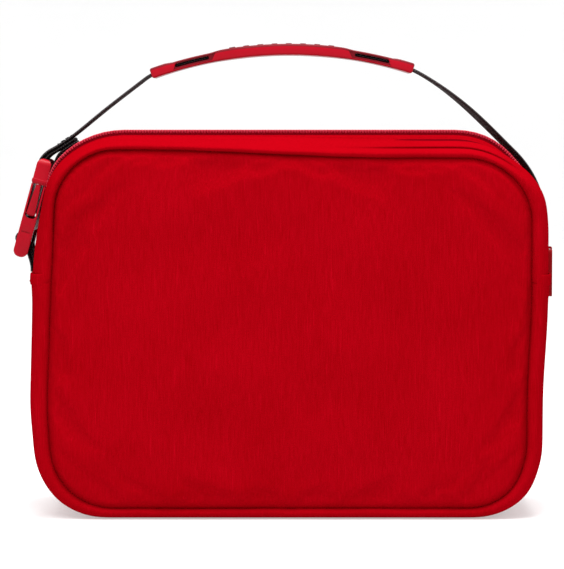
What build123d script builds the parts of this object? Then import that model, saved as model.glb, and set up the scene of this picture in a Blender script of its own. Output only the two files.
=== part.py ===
"""Soft lunch bag: padded body, zipped front lid, arched grip on webbing and a side-release buckle.

Millimetres.  The origin is the middle of the flat base, +Z is up, and the front of the bag faces -Y.
"""
import os
from math import acos, atan2, cos, degrees, hypot, radians, sin, tan

from build123d import *

# ---- bag body ----
HALF_WIDTH = 127.0
HEIGHT = 188.0
DEPTH = 80.0
TOP_RADIUS = 45.0
BOTTOM_RADIUS = 36.0
RIM_RADIUS = 7.0
COVER_WALL = 0.8
FOAM_WALL = 4.0
LINER_WALL = 0.5
LID_HEIGHT = 68.0
HEM_Z = HEIGHT - LID_HEIGHT
LID_GAP = 0.4
HEM_STRIP_WIDTH = 3.6
HEM_STRIP_RISE = 1.0
BINDING_WIDTH = 2.5

# ---- zip ----
ZIP_Y = -9.0
FACING_INNER = 4.0
FACING_OUTER = 14.0
TAPE_HALF = 12.0
TAPE_WALL = 0.5
TAPE_GAP = 1.2
COIL_WIDTH = 2.0
COIL_RISE = 0.6
COIL_GAP = 0.4
STOP_LENGTH = 1.6
SLIDER_LENGTH = 10.0
SLIDER_HALF_WIDTH = 4.0
SLIDER_PLATE = 0.8
SLIDER_CLEARANCE = 0.3
SLIDER_START = 3.0
POST_HALF = 0.7
POST_LENGTH = 3.0
PULL_LENGTH = 23.0
PULL_HALF_WIDTH = 3.0
PULL_THICKNESS = 1.0
PULL_PIN_RADIUS = 0.45
PULL_HOLE_RADIUS = 0.75

# ---- handle and webbing ----
WEBBING_WIDTH = 20.0
WEBBING_THICKNESS = 1.6
WEBBING_LIFT = 0.8
GRIP_RISE = 42.6
GRIP_RADIUS = 203.0
GRIP_START = -19.9
GRIP_END = 17.7
GRIP_WIDTH = 24.0
GRIP_THICKNESS = 5.2
GRIP_SLOT_CLEARANCE = 0.3
GRIP_PAD_WIDTH = 29.0
GRIP_PAD_THICKNESS = 5.8
GRIP_PAD_HALF_ANGLE = 8.6
GRIP_WINDOW_HEIGHT = 2.6
GRIP_WINDOW_NEAR = 11.6
GRIP_WINDOW_FAR = 14.8
GRIP_RIB_COUNT = 8
GRIP_RIB_PITCH = 1.3
GRIP_RIB_RISE = 0.5
STRAP_JOIN_GAP = 0.4
THREAD = 0.4

# ---- side-release buckle, drawn upright from its top, then leaned ----
BUCKLE_CLEARANCE = 0.5
BUCKLE_LEAN = 15.5
BUCKLE_TOP_DROP = 12.0
BUCKLE_THICKNESS = 7.2
BUCKLE_LENGTH = 50.5
EAR_WIDTH = 3.0
BASE_LENGTH = 13.0
BAR_DEPTH = 5.0
BAR_RADIUS = 1.5
BAR_SLACK = 0.1
SOCKET_LENGTH = 22.7
SOCKET_WALL = 1.2
SOCKET_BAR_DEPTH = 41.0
SOCKET_BAR_RADIUS = 1.8
TAB_SLACK = 0.5
JOINT_GAP = 0.3
ARM_THICKNESS = 2.5
ARM_LENGTH = 16.0
ARM_WIDTH = 4.0
ARM_NECK_WIDTH = 2.2
ARM_NECK_LENGTH = 3.6
TONGUE_LENGTH = 18.0
EAR_GAP = 0.5
BUCKLE_TO_COIL = 0.6

BUCKLE_REACH = WEBBING_WIDTH / 2 + EAR_GAP + EAR_WIDTH
WEBBING_Y = ZIP_Y + COIL_GAP / 2 + COIL_WIDTH + BUCKLE_TO_COIL + BUCKLE_REACH
INNER_WALL = COVER_WALL + FOAM_WALL + LINER_WALL
TOP_CENTRE_X = HALF_WIDTH - TOP_RADIUS
TOP_CENTRE_Z = HEIGHT - TOP_RADIUS
GRIP_CENTRE_Z = HEIGHT + GRIP_RISE - GRIP_RADIUS
FAR = 400.0


def save(name, *solids):
    """Write one sub-part to its own STEP file."""
    shape = solids[0] if len(solids) == 1 else Compound(children=list(solids))
    export_step(shape, f"parts/{name}.step")


def block(x0, x1, y0, y1, z0, z1):
    """A box between two corners."""
    centre = ((x0 + x1) / 2, (y0 + y1) / 2, (z0 + z1) / 2)
    return Pos(*centre) * Box(abs(x1 - x0), abs(y1 - y0), abs(z1 - z0))


def outline(inset):
    """The bag's front outline, set in by inset."""
    half = HALF_WIDTH - inset
    face = Pos(0, HEIGHT / 2) * Rectangle(2 * half, HEIGHT - 2 * inset)
    face = fillet(face.vertices().group_by(Axis.Y)[-1], TOP_RADIUS - inset)
    face = fillet(face.vertices().group_by(Axis.Y)[0], BOTTOM_RADIUS - inset)
    return Plane.XZ * face


def envelope(inset):
    """The whole soft body, set in by inset all over, with its rounded front and back rims."""
    body = extrude(outline(inset), DEPTH / 2 - inset, both=True)
    rims = body.edges().group_by(Axis.Y)
    return fillet(rims[0] + rims[-1], RIM_RADIUS - inset)


def panel(outer, inner, side):
    """One layer of the flat front (side -1) or back (side +1) panel."""
    y0, y1 = side * (DEPTH / 2 - outer), side * (DEPTH / 2 - inner)
    prism = extrude(outline(RIM_RADIUS), DEPTH, both=True)
    return prism & block(-FAR, FAR, y0, y1, -FAR, FAR)


def ring(outer, inner):
    """One layer of the gusset that runs all round between the two panels."""
    core = extrude(outline(RIM_RADIUS), DEPTH, both=True)
    rims = core - block(-FAR, FAR, -DEPTH / 2 + inner, DEPTH / 2 - inner, -FAR, FAR)
    return envelope(outer) - envelope(inner) - rims


def below_hem():
    return block(-FAR, FAR, -FAR, FAR, -FAR, HEM_Z)


def above_hem(y0=-FAR, y1=FAR, gap=0.0):
    return block(-FAR, FAR, y0, y1, HEM_Z + gap, FAR)


LAYERS = {
    "cover": (0.0, COVER_WALL),
    "foam": (COVER_WALL, COVER_WALL + FOAM_WALL),
    "liner": (COVER_WALL + FOAM_WALL, INNER_WALL),
}


def build_padded_body():
    """Cover, foam and liner of each panel and of each stretch of gusset."""
    rear_edge = ZIP_Y + FACING_OUTER
    front_edge = ZIP_Y - FACING_OUTER
    for layer, (outer, inner) in LAYERS.items():
        front = panel(outer, inner, -1)
        gusset = ring(outer, inner)
        save(f"back_{layer}", panel(outer, inner, 1))
        save(f"front_{layer}_lower", front & below_hem())
        save(f"front_{layer}_upper", front & above_hem(gap=LID_GAP))
        save(f"lower_gusset_{layer}", gusset & below_hem())
        save(f"rear_gusset_{layer}", gusset & above_hem(y0=rear_edge))
        save(f"lid_gusset_{layer}", gusset & above_hem(y1=front_edge, gap=LID_GAP))


def build_seam_bindings():
    """Tape that covers the raw seams inside the bag, one run at the back and two at the front."""
    inner = outline(INNER_WALL + BINDING_WIDTH)
    tube = envelope(INNER_WALL) - extrude(inner, DEPTH, both=True)
    edge = DEPTH / 2 - INNER_WALL
    rear = tube & block(-FAR, FAR, edge - BINDING_WIDTH, edge, -FAR, FAR)
    front = tube & block(-FAR, FAR, -edge, BINDING_WIDTH - edge, -FAR, FAR)
    save("rear_seam_binding", rear)
    save("front_seam_binding_lower", front & below_hem())
    save("front_seam_binding_upper", front & above_hem(gap=LID_GAP))


def build_hems():
    """The two proud hem strips at which the zipped gusset ends, one each side."""
    rib = envelope(-HEM_STRIP_RISE) - envelope(0)
    flat = DEPTH / 2 - RIM_RADIUS
    for name, side in (("left", -1), ("right", 1)):
        zone = block(side * TOP_CENTRE_X, side * FAR, -flat, flat, HEM_Z - HEM_STRIP_WIDTH, HEM_Z)
        save(f"{name}_hem_strip", rib & zone)


def zip_strip(outer, inner, side, near, far):
    """A strip of the gusset's skin beside the zip line: side -1 is on the lid, +1 on the bag."""
    gap = LID_GAP if side < 0 else 0.0
    return ring(outer, inner) & above_hem(ZIP_Y + side * near, ZIP_Y + side * far, gap)


def above(solid, z):
    return solid & block(-FAR, FAR, -FAR, FAR, z, FAR)


def build_zip():
    """Facings, tapes, coils and end stops on both sides of the zip line."""
    stop_top = HEM_Z + LID_GAP + STOP_LENGTH
    post_top = HEM_Z + SLIDER_START + POST_LENGTH + SLIDER_CLEARANCE
    for name, side in (("front", -1), ("rear", 1)):
        near = COIL_GAP / 2
        far = near + COIL_WIDTH
        tape = zip_strip(COVER_WALL, COVER_WALL + TAPE_WALL, side, TAPE_GAP, TAPE_HALF)
        coil = ring(-COIL_RISE, COVER_WALL) & above_hem(ZIP_Y + side * near, ZIP_Y + side * far)
        clear_of_post = block(0, FAR, -FAR, FAR, -FAR, post_top)
        stops = coil & above_hem(gap=LID_GAP) & block(-FAR, FAR, -FAR, FAR, 0, stop_top)
        save(f"{name}_zip_facing", zip_strip(0, COVER_WALL, side, FACING_INNER, FACING_OUTER))
        save(f"{name}_zip_tape", tape)
        save(f"{name}_zip_coil", above(coil, stop_top) - clear_of_post)
        save(f"{name}_zip_stops", *stops.solids())


def build_slider():
    """Slider parked at the right-hand hem, and the pull that hangs from its lug."""
    y0, y1 = ZIP_Y - SLIDER_HALF_WIDTH, ZIP_Y + SLIDER_HALF_WIDTH
    z0 = HEM_Z + SLIDER_START
    z1 = z0 + SLIDER_LENGTH
    top_in = HALF_WIDTH + COIL_RISE + SLIDER_CLEARANCE
    top_out = top_in + SLIDER_PLATE
    under_out = HALF_WIDTH - COVER_WALL - TAPE_WALL - SLIDER_CLEARANCE
    under_in = under_out - SLIDER_PLATE
    pin_x = top_out + 2 * PULL_PIN_RADIUS
    pin_z = z1 - 2.2
    lug_half = 0.8
    lug = block(top_out, pin_x + 1.2, ZIP_Y - lug_half, ZIP_Y + lug_half, pin_z - 1.7, pin_z + 1.7)
    hole = Pos(pin_x, ZIP_Y, pin_z) * Rot(90, 0, 0) * Cylinder(PULL_HOLE_RADIUS, 4 * lug_half)
    slider = block(top_in, top_out, y0, y1, z0, z1)
    slider += block(under_in, under_out, y0, y1, z0, z1)
    slider += block(under_in, top_out, ZIP_Y - POST_HALF, ZIP_Y + POST_HALF, z0, z0 + POST_LENGTH)
    save("zip_slider", slider + lug - hole)

    arm_inner = lug_half + SLIDER_CLEARANCE
    arm_outer = PULL_HALF_WIDTH - 0.4
    half = PULL_THICKNESS / 2
    pull = Pos(pin_x, ZIP_Y, pin_z) * Rot(90, 0, 0) * Cylinder(PULL_PIN_RADIUS, 2 * arm_outer)
    for side in (-1, 1):
        a, b = ZIP_Y + side * arm_inner, ZIP_Y + side * arm_outer
        pull += block(pin_x - half, pin_x + half, a, b, pin_z - 5.0, pin_z + PULL_PIN_RADIUS)
    tab = block(pin_x - half, pin_x + half, ZIP_Y - PULL_HALF_WIDTH, ZIP_Y + PULL_HALF_WIDTH,
                pin_z - PULL_LENGTH, pin_z - 4.5)
    save("zip_pull", pull + tab)


def grip_point(angle, radius=GRIP_RADIUS):
    """A point of the grip's arc, at an angle from straight up, towards +X."""
    return radius * sin(radians(angle)), GRIP_CENTRE_Z + radius * cos(radians(angle))


def grip_sweep(width, thickness, start, end, lift=0.0, corner=0.0):
    """A flat section turned along the grip's arc."""
    section = RectangleRounded(width, thickness, corner) if corner else Rectangle(width, thickness)
    section = Pos(WEBBING_Y, GRIP_RADIUS + lift) * section
    face = Pos(0, 0, GRIP_CENTRE_Z) * Rot(0, start, 0) * (Plane.YZ * section)
    return revolve(face, Axis((0, 0, GRIP_CENTRE_Z), (0, 1, 0)), end - start)


def build_grip():
    """Moulded grip with a ribbed pad in the middle and a window at each side of the pad."""
    middle = (GRIP_START + GRIP_END) / 2
    grip = grip_sweep(GRIP_WIDTH, GRIP_THICKNESS, GRIP_START, GRIP_END, corner=2.0)
    pad = GRIP_PAD_HALF_ANGLE
    grip += grip_sweep(GRIP_PAD_WIDTH, GRIP_PAD_THICKNESS, middle - pad, middle + pad, corner=2.4)
    for index in range(GRIP_RIB_COUNT):
        angle = middle + (index - (GRIP_RIB_COUNT - 1) / 2) * GRIP_RIB_PITCH
        rise = GRIP_PAD_THICKNESS / 2
        grip += grip_sweep(GRIP_WIDTH, 2 * GRIP_RIB_RISE, angle - 0.25, angle + 0.25, lift=rise)
    slot = WEBBING_WIDTH + 2 * GRIP_SLOT_CLEARANCE
    slot_height = WEBBING_THICKNESS + 2 * GRIP_SLOT_CLEARANCE
    grip -= grip_sweep(slot, slot_height, GRIP_START - 1, GRIP_END + 1)
    for side in (-1, 1):
        ends = sorted((middle + side * GRIP_WINDOW_NEAR, middle + side * GRIP_WINDOW_FAR))
        grip -= grip_sweep(2 * GRIP_WIDTH, GRIP_WINDOW_HEIGHT, *ends)
    save("grip", grip)
    save("strap_in_grip", grip_sweep(WEBBING_WIDTH, WEBBING_THICKNESS, GRIP_START, GRIP_END))


def ribbon(points, width=WEBBING_WIDTH, thickness=WEBBING_THICKNESS):
    """Webbing of even thickness along a route in the XZ plane."""
    upper, lower = [], []
    for index, (x, z) in enumerate(points):
        x0, z0 = points[max(index - 1, 0)]
        x1, z1 = points[min(index + 1, len(points) - 1)]
        run = ((x1 - x0) ** 2 + (z1 - z0) ** 2) ** 0.5
        nx, nz = -(z1 - z0) / run * thickness / 2, (x1 - x0) / run * thickness / 2
        upper.append((x + nx, z + nz))
        lower.append((x - nx, z - nz))
    face = make_face(Polyline(*upper, *reversed(lower), close=True))
    return Pos(0, WEBBING_Y, 0) * extrude(Plane.XZ * face, width / 2, both=True)


def corner_point(angle, lift, side=1):
    """A point above the bag's top corner, at an angle from straight up."""
    radius = TOP_RADIUS + lift
    return side * (TOP_CENTRE_X + radius * sin(radians(angle))), TOP_CENTRE_Z + radius * cos(radians(angle))


def grip_mouth(angle, side):
    """Where webbing leaves the grip, a small gap beyond the stretch inside it."""
    return grip_point(angle + side * degrees(STRAP_JOIN_GAP / GRIP_RADIUS))


def towards(start, end, distance):
    """The point at a distance from start on the way to end."""
    run = hypot(end[0] - start[0], end[1] - start[1])
    return tuple(a + (b - a) * distance / run for a, b in zip(start, end))


def landing_angle(point, lift):
    """Degrees from upright at which a straight run from a point touches the round of the right corner."""
    dx, dz = point[0] - TOP_CENTRE_X, point[1] - TOP_CENTRE_Z
    return degrees(atan2(dx, dz) + acos((TOP_RADIUS + lift) / hypot(dx, dz)))


def build_right_strap():
    """Webbing from the grip over the right-hand corner and down to the hem."""
    lift = WEBBING_LIFT + WEBBING_THICKNESS / 2
    start = grip_mouth(GRIP_END, 1)
    bend = (start[0] + 11.5, start[1] - 5.6)
    angle = landing_angle(bend, lift)
    landing = corner_point(angle, lift)
    save("strap_right_upper", ribbon([start, bend, towards(landing, bend, STRAP_JOIN_GAP)]))
    steps = 5
    swing = (90 - angle) / steps
    route = [corner_point(angle + swing * i, lift) for i in range(steps + 1)]
    route.append((HALF_WIDTH + lift, HEM_Z + STRAP_JOIN_GAP))
    save("strap_right_lower", ribbon(route))


def buckle_frame():
    """Where the upright buckle goes: its top, leaned outwards at the foot, clear of the left side."""
    lean = radians(BUCKLE_LEAN)
    half = BUCKLE_THICKNESS / 2
    touch = corner_point(90 - BUCKLE_LEAN, BUCKLE_CLEARANCE + half, side=-1)
    drop = HEIGHT - BUCKLE_TOP_DROP - touch[1]
    return Location((touch[0] + drop * tan(lean), WEBBING_Y, HEIGHT - BUCKLE_TOP_DROP),
                    (0, BUCKLE_LEAN, 0))


def buckle_world(x, z):
    """A point of the upright buckle's XZ plane, carried to its place."""
    place = (buckle_frame() * Pos(x, 0, z)).position
    return place.X, place.Z


def ears(z0, z1, rounding):
    """The two side cheeks that hold a webbing bar."""
    half = BUCKLE_THICKNESS / 2
    inner = WEBBING_WIDTH / 2 + EAR_GAP
    pair = None
    for side in (-1, 1):
        ear = block(-half, half, side * inner, side * (inner + EAR_WIDTH), z0, z1)
        ear = fillet(rounding(ear.edges().filter_by(Axis.Y).group_by(Axis.Z)), 0.45 * BUCKLE_THICKNESS)
        pair = ear if pair is None else pair + ear
    return pair


def build_buckle_male():
    """The buckle's webbing end, with its guide tongue, and its two release arms."""
    half = BUCKLE_THICKNESS / 2
    reach = BUCKLE_REACH
    solid_from = BASE_LENGTH - 4.0
    base = ears(-solid_from, 0, lambda groups: groups[-1])
    base += block(-half, half, -reach, reach, -BASE_LENGTH, -solid_from)
    base += Pos(0, 0, -BAR_DEPTH) * Rot(90, 0, 0) * Cylinder(BAR_RADIUS, 2 * reach - EAR_WIDTH)
    base += block(-1.0, 1.0, -3.0, 3.0, -BASE_LENGTH - TONGUE_LENGTH, -BASE_LENGTH)
    save("buckle_male_base", buckle_frame() * base)

    top = -BASE_LENGTH - JOINT_GAP
    for name, side in (("front", -1), ("rear", 1)):
        y0, y1 = side * (reach - ARM_THICKNESS), side * reach
        arm = block(-ARM_NECK_WIDTH / 2, ARM_NECK_WIDTH / 2, y0, y1, top - ARM_NECK_LENGTH, top)
        pad = block(-ARM_WIDTH / 2, ARM_WIDTH / 2, y0, y1, top - ARM_LENGTH, top - ARM_NECK_LENGTH)
        save(f"buckle_arm_{name}", buckle_frame() * (arm + pad))


def build_buckle_socket():
    """The buckle's hollow end: open at the top and at both sides, with a webbing bar at its foot."""
    half = BUCKLE_THICKNESS / 2
    reach = BUCKLE_REACH
    top = -BASE_LENGTH - JOINT_GAP
    foot = top - SOCKET_LENGTH
    body = block(-half, half, -reach, reach, foot, top)
    cavity = half - SOCKET_WALL
    body -= block(-cavity, cavity, -reach + ARM_THICKNESS, reach - ARM_THICKNESS, foot + 2.0, top + 1)
    body -= block(-cavity, cavity, -2 * reach, 2 * reach, top - ARM_LENGTH - 1.5, top + 1)
    body += ears(-BUCKLE_LENGTH, foot, lambda groups: groups[0])
    bar = Pos(0, 0, -SOCKET_BAR_DEPTH) * Rot(90, 0, 0) * Cylinder(SOCKET_BAR_RADIUS, 2 * reach - EAR_WIDTH)
    save("buckle_socket", buckle_frame() * (body + bar))


def loop_round_bar(depth, bar_radius, slack):
    """A closed turn of webbing round a buckle bar."""
    inner = bar_radius + slack
    turn = Circle(inner + WEBBING_THICKNESS) - Circle(inner)
    turn = Pos(*buckle_world(0, -depth)) * turn
    return Pos(0, WEBBING_Y, 0) * extrude(Plane.XZ * turn, WEBBING_WIDTH / 2, both=True)


def fold_ends():
    """Lower and upper end of the stitched fold above the left-hand corner."""
    return corner_point(45.0, 4.6, side=-1), corner_point(33.5, 5.6, side=-1)


def across(start, end, offset):
    """A shift square to the way from start to end, positive to its left."""
    run = hypot(end[0] - start[0], end[1] - start[1])
    return -(end[1] - start[1]) / run * offset, (end[0] - start[0]) / run * offset


def build_left_strap():
    """Webbing from the grip to the stitched fold, and the fold's loop round the buckle."""
    start = grip_mouth(GRIP_START, -1)
    bend = (start[0] - 6.5, start[1] - 4.4)
    split, fold = fold_ends()
    save("strap_left_upper", ribbon([towards(fold, bend, STRAP_JOIN_GAP), bend, start]))

    bar = buckle_world(0, -BAR_DEPTH)
    strap = ribbon([split, fold], thickness=3 * WEBBING_THICKNESS)
    for side in (-1, 1):
        low = across(bar, split, side * (BAR_RADIUS + BAR_SLACK + WEBBING_THICKNESS / 2))
        high = across(split, fold, side * WEBBING_THICKNESS)
        strap += ribbon([(bar[0] + low[0], bar[1] + low[1]), (split[0] + high[0], split[1] + high[1])])
    strap += loop_round_bar(BAR_DEPTH, BAR_RADIUS, BAR_SLACK)
    save("strap_left_fold", strap - envelope(-JOINT_GAP))


def build_tab():
    """Short webbing tab from the left-hand hem, looped round the socket's bar."""
    turn = SOCKET_BAR_RADIUS + TAB_SLACK + WEBBING_THICKNESS / 2
    foot = buckle_world(turn, -SOCKET_BAR_DEPTH)
    sewn = (-HALF_WIDTH - JOINT_GAP - WEBBING_THICKNESS / 2, HEM_Z + JOINT_GAP)
    half_way = (sewn[0] - 0.35 * (sewn[0] - foot[0]), (foot[1] + sewn[1]) / 2)
    loop = loop_round_bar(SOCKET_BAR_DEPTH, SOCKET_BAR_RADIUS, TAB_SLACK)
    save("buckle_tab", loop + ribbon([foot, half_way, sewn]))


def thread_rows():
    """Depths of the stitches in one row across the webbing."""
    pitch = WEBBING_WIDTH / 8
    return [WEBBING_Y + (row - 3) * pitch for row in range(7)]


def build_stitching():
    """Rows of thread: three across the webbing fold and a bar tack at each hem."""
    split, fold = fold_ends()
    run = hypot(fold[0] - split[0], fold[1] - split[1])
    lean = degrees(atan2(fold[1] - split[1], fold[0] - split[0]))
    out = across(split, fold, 1.5 * WEBBING_THICKNESS + THREAD / 2)
    stitches = []
    for share in (0.2, 0.5, 0.8):
        x, z = towards(split, fold, share * run)
        place = Pos(x + out[0], 0, z + out[1]) * Rot(0, -lean, 0)
        stitches += [Pos(0, y, 0) * place * Box(1.6, 1.2, THREAD) for y in thread_rows()]
    save("fold_stitching", *stitches)
    tacks = []
    for side in (-1, 1):
        x = side * (HALF_WIDTH + HEM_STRIP_RISE)
        z0 = HEM_Z - HEM_STRIP_WIDTH / 2 - 1.0
        tacks += [block(x, x + side * THREAD, y - 0.6, y + 0.6, z0, z0 + 2.0) for y in thread_rows()]
    save("hem_bar_tacks", *tacks)


def main():
    os.makedirs("parts", exist_ok=True)
    build_padded_body()
    build_seam_bindings()
    build_hems()
    build_zip()
    build_slider()
    build_grip()
    build_right_strap()
    build_left_strap()
    build_tab()
    build_buckle_male()
    build_buckle_socket()
    build_stitching()


main()
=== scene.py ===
"""Looks of a soft red lunch bag: sewn nylon, zip, webbing handle with a moulded grip, and a side-release buckle."""
from contextlib import contextmanager
from math import cos, hypot, pi, radians, sin

import bpy
import numpy as np
from mathutils import Matrix, Vector, noise


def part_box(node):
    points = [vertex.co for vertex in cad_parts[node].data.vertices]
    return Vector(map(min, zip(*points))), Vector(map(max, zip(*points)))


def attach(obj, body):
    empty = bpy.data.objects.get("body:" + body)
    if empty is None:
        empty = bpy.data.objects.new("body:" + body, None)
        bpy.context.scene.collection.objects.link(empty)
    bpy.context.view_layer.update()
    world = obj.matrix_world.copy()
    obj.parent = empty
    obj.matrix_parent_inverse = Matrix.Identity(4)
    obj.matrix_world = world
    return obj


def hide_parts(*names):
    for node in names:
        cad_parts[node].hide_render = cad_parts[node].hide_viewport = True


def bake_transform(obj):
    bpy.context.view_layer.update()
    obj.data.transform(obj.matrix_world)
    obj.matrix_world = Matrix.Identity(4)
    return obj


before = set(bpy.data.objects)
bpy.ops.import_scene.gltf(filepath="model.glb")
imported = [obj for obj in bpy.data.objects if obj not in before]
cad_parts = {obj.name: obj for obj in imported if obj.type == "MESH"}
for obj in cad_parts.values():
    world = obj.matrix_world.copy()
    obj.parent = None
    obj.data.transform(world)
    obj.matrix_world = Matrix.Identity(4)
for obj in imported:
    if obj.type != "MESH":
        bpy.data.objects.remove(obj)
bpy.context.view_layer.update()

MM = 0.001

# ---- sizes read from the frame ----
GUSSET_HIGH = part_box("lower_gusset_cover")[1]
HALF = GUSSET_HIGH.x
HEM = GUSSET_HIGH.z
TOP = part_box("rear_gusset_cover")[1].z
ZIP_Y = (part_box("front_zip_coil")[1].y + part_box("rear_zip_coil")[0].y) / 2
STRAP_LOW, STRAP_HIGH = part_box("strap_in_grip")
STRAP_Y = (STRAP_LOW.y + STRAP_HIGH.y) / 2
STRAP_HALF = (STRAP_HIGH.y - STRAP_LOW.y) / 2
BUCKLE_LOW, BUCKLE_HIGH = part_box("buckle_male_base")
BUCKLE_REACH = (BUCKLE_HIGH.y - BUCKLE_LOW.y) / 2
SLIDER_LOW, SLIDER_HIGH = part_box("zip_slider")
PULL_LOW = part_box("zip_pull")[0]

# ---- sewn body ----
TOP_RADIUS = 45 * MM
LOW_RADIUS = 36 * MM
WALL = 5.3 * MM
SKIN = 0.8 * MM
COIL_PITCH = 1.4 * MM

# ---- grip and webbing ----
GRIP_RADIUS = 203 * MM
GRIP_START = -19.9
GRIP_END = 17.7
WEBBING = 1.6 * MM
GRIP_CENTRE_Z = STRAP_HIGH.z - WEBBING / 2 - GRIP_RADIUS

# ---- buckle ----
LEAN = radians(15.5)
BUCKLE_TOP = Vector((-121.7 * MM, STRAP_Y, 176 * MM))
BUCKLE_HALF = 3.6 * MM


def smooth(start, end, value):
    """0 before start, 1 after end, with an easy curve between; start may be above end."""
    t = np.clip((value - start) / (end - start), 0, 1)
    return t * t * (3 - 2 * t)


# ---------------------------------------------------------------- mesh helpers

def only(obj):
    bpy.ops.object.select_all(action="DESELECT")
    obj.select_set(True)
    bpy.context.view_layer.objects.active = obj
    return obj


@contextmanager
def editing(obj, mode="VERT", everything=False):
    only(obj)
    bpy.ops.object.mode_set(mode="EDIT")
    bpy.ops.mesh.select_mode(type=mode)
    if everything:
        bpy.ops.mesh.select_all(action="SELECT")
    yield
    bpy.ops.object.mode_set(mode="OBJECT")


def choose(obj, verts=None, edges=None, faces=None):
    """Select what passes a test on its place (and, for faces, its normal) in object mode."""
    mesh = obj.data
    for group in (mesh.vertices, mesh.edges, mesh.polygons):
        group.foreach_set("select", [False] * len(group))
    if verts:
        for v in mesh.vertices:
            v.select = verts(v.co)
    if edges:
        for e in mesh.edges:
            a, b = (mesh.vertices[i].co for i in e.vertices)
            e.select = edges(a, b)
    if faces:
        for p in mesh.polygons:
            p.select = faces(p.center, p.normal)


def apply_all(obj):
    only(obj)
    for modifier in list(obj.modifiers):
        bpy.ops.object.modifier_apply(modifier=modifier.name)
    return obj


def settle(obj):
    only(obj)
    bpy.ops.object.transform_apply(location=True, rotation=True, scale=True)
    return obj


def block(name, low, high):
    """A cube primitive between two corners."""
    low, high = Vector(low), Vector(high)
    bpy.ops.object.select_all(action="DESELECT")
    bpy.ops.mesh.primitive_cube_add(size=1, location=(low + high) / 2, scale=high - low)
    obj = bpy.context.object
    obj.name = obj.data.name = name
    return settle(obj)


def rod(name, centre, radius, length, sides=24):
    """A cylinder primitive along Y."""
    bpy.ops.object.select_all(action="DESELECT")
    bpy.ops.mesh.primitive_cylinder_add(vertices=sides, radius=radius, depth=length, location=centre,
                                        rotation=(pi / 2, 0, 0))
    obj = bpy.context.object
    obj.name = obj.data.name = name
    return settle(obj)


def combine(obj, other, operation):
    modifier = obj.modifiers.new("combine", "BOOLEAN")
    modifier.operation = operation
    modifier.solver = "EXACT"
    modifier.object = other
    apply_all(obj)
    bpy.data.objects.remove(other)
    return obj


def cut(obj, other):
    return combine(obj, other, "DIFFERENCE")


def fuse(obj, other):
    return combine(obj, other, "UNION")


def bevel_edges(obj, test, width, segments=4):
    choose(obj, edges=test)
    with editing(obj, "EDGE"):
        bpy.ops.mesh.bevel(offset=width, segments=segments, affect="EDGES")
    return obj


def crosswise(low=-1.0, high=1.0):
    """Edges that run across the bag, along Y, between two heights."""
    return lambda a, b: abs(a.y - b.y) > MM and low < a.z < high


def soften(obj, width, segments=3, angle=35):
    """Round every sharp edge and shade the rest smooth."""
    modifier = obj.modifiers.new("soften", "BEVEL")
    modifier.width = width
    modifier.segments = segments
    modifier.limit_method = "ANGLE"
    modifier.angle_limit = radians(angle)
    modifier.use_clamp_overlap = True
    modifier.harden_normals = False
    apply_all(obj)
    bpy.ops.object.shade_smooth_by_angle(angle=radians(40))
    return obj


def from_points(name, points, faces):
    mesh = bpy.data.meshes.new(name)
    mesh.from_pydata(points, [], faces)
    obj = bpy.data.objects.new(name, mesh)
    bpy.context.scene.collection.objects.link(obj)
    return obj


def grid_piece(name, points):
    """A sheet of quads over an array of rows and columns of points, facing away from the bag's middle."""
    rows, columns = points.shape[:2]
    faces = [(r * columns + c, r * columns + columns + c, r * columns + columns + c + 1, r * columns + c + 1)
             for r in range(rows - 1) for c in range(columns - 1)]
    obj = from_points(name, points.reshape(-1, 3).tolist(), faces)
    middle = Vector((0, 0, TOP / 2))
    if sum(p.area * p.normal.dot(p.center - middle) for p in obj.data.polygons) < 0:
        obj.data.flip_normals()
    return obj


def rounded_bead(half_size, width, segments):
    """Points and faces of one small block with rounded edges, for copies()."""
    bead = block("bead", -Vector(half_size), half_size)
    with editing(bead, everything=True):
        bpy.ops.mesh.bevel(offset=width, segments=segments, affect="EDGES")
    shape = (np.array([v.co for v in bead.data.vertices]), [tuple(p.vertices) for p in bead.data.polygons])
    bpy.data.objects.remove(bead)
    return shape


def thicken(obj, thickness, levels=1):
    """Give a skin its thickness, inwards, and round it with one subdivision."""
    solid = obj.modifiers.new("solid", "SOLIDIFY")
    solid.thickness = thickness
    solid.offset = -1
    if levels:
        rounding = obj.modifiers.new("rounding", "SUBSURF")
        rounding.levels = rounding.render_levels = levels
    apply_all(obj)
    obj.data.shade_smooth()
    return obj


# ---------------------------------------------------------------- the sewn body's shape

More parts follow.
